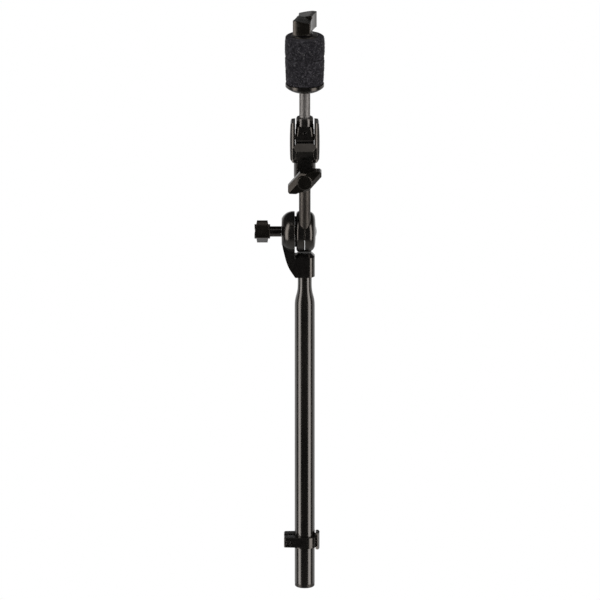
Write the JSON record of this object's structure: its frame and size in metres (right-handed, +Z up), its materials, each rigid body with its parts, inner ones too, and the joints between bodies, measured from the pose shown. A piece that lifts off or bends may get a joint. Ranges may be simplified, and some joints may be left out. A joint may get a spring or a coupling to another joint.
{
  "type": "cymbal stand upper section",
  "caption": "Upper section of a drum-kit cymbal stand: plugged tube with memory lock, short boom in a round clamp, tilter with brake lever, rod, seat, tall felts and wing nuts.",
  "frame": {"origin": "centre of the main tube's lower end, 2.2 mm above the underside of its end plug", "axes": "+Z up along the main tube, towards the cymbal; -Y towards the side of the boom tube and the tilter's wing nut; -X towards the clamp's wing nut"},
  "size_m": [0.077, 0.0743, 0.661],
  "materials": {
    "black_nickel_tube": "gloss black-nickel plate",
    "black_enamel": "gloss black enamel on die-cast zinc",
    "boom_satin": "satin dark grey-brown plate",
    "steel_satin": "satin steel",
    "steel_black": "black oxide steel, gloss",
    "zinc_fastener": "bright zinc plate",
    "wing_plastic": "satin black moulding",
    "seat_plastic": "satin black moulding",
    "nylon_black": "black nylon",
    "felt_charcoal": "pressed wool felt",
    "brake_lining": "moulded friction lining"
  },
  "bodies": {
    "column": {"main_tube": "black_nickel_tube", "tube_end_plug": "nylon_black", "tilter_base": "black_enamel", "base_roll_pin": "steel_black"},
    "lock": {"memory_lock": "black_enamel", "memory_lock_nut": "steel_black"},
    "lock_bolt": {"memory_lock_bolt": "steel_black"},
    "clamp": {"clamp_inner_half": "black_enamel", "clamp_outer_half": "black_enamel", "clamp_bolt": "steel_black", "friction_washer": "nylon_black"},
    "clamp_nut": {"clamp_wing_nut": "wing_plastic", "clamp_nut_sleeve": "steel_black", "clamp_washer": "zinc_fastener"},
    "bush": {"boom_bush": "nylon_black"},
    "boom": {"boom_tube": "boom_satin", "tilter_yoke": "black_enamel", "yoke_pin": "steel_black", "pivot_pin": "steel_black", "brake_lever": "black_enamel", "brake_pad": "brake_lining", "tilter_stud": "zinc_fastener"},
    "tilter_nut": {"tilter_wing_nut": "wing_plastic", "tilter_nut_boss": "steel_black", "tilter_washer": "steel_black"},
    "rod": {"rod_holder": "black_enamel", "rod_set_screw": "steel_black", "rod_ferrule": "steel_black", "cymbal_rod": "steel_satin", "cymbal_seat": "seat_plastic", "cymbal_sleeve": "nylon_black", "lower_felt": "felt_charcoal", "upper_felt": "felt_charcoal"},
    "top_nut": {"top_wing_nut": "wing_plastic", "top_nut_boss": "nylon_black", "top_washer": "nylon_black"}
  },
  "joints": [
    {"name": "lock_slide", "type": "slide", "parent": "column", "child": "lock", "axis": [0, 0, 1], "range_m": [-0.035, 0.25]},
    {"name": "lock_bolt_turn", "type": "hinge", "parent": "lock", "child": "lock_bolt", "pos_m": [-0.018, 0, 0.0516], "axis": [0, 1, 0], "continuous": true},
    {"name": "boom_tilt", "type": "hinge", "parent": "column", "child": "clamp", "pos_m": [0, 0, 0.4076], "axis": [1, 0, 0], "range_deg": [-100, 95]},
    {"name": "clamp_nut_turn", "type": "hinge", "parent": "clamp", "child": "clamp_nut", "pos_m": [-0.045, 0, 0.4076], "axis": [1, 0, 0], "continuous": true},
    {"name": "boom_swivel", "type": "hinge", "parent": "clamp", "child": "bush", "pos_m": [0, -0.014, 0.4076], "axis": [0, 0, 1], "continuous": true},
    {"name": "boom_slide", "type": "slide", "parent": "bush", "child": "boom", "axis": [0, 0, 1], "range_m": [0, 0.012]},
    {"name": "tilter_nut_turn", "type": "hinge", "parent": "boom", "child": "tilter_nut", "pos_m": [0, -0.044, 0.479], "axis": [0, 1, 0], "continuous": true},
    {"name": "rod_tilt", "type": "hinge", "parent": "boom", "child": "rod", "pos_m": [0, -0.014, 0.5205], "axis": [1, 0, 0], "range_deg": [-80, 50]},
    {"name": "top_nut_turn", "type": "hinge", "parent": "rod", "child": "top_nut", "pos_m": [0, -0.014, 0.65], "axis": [0, 0, 1], "continuous": true}
  ]
}
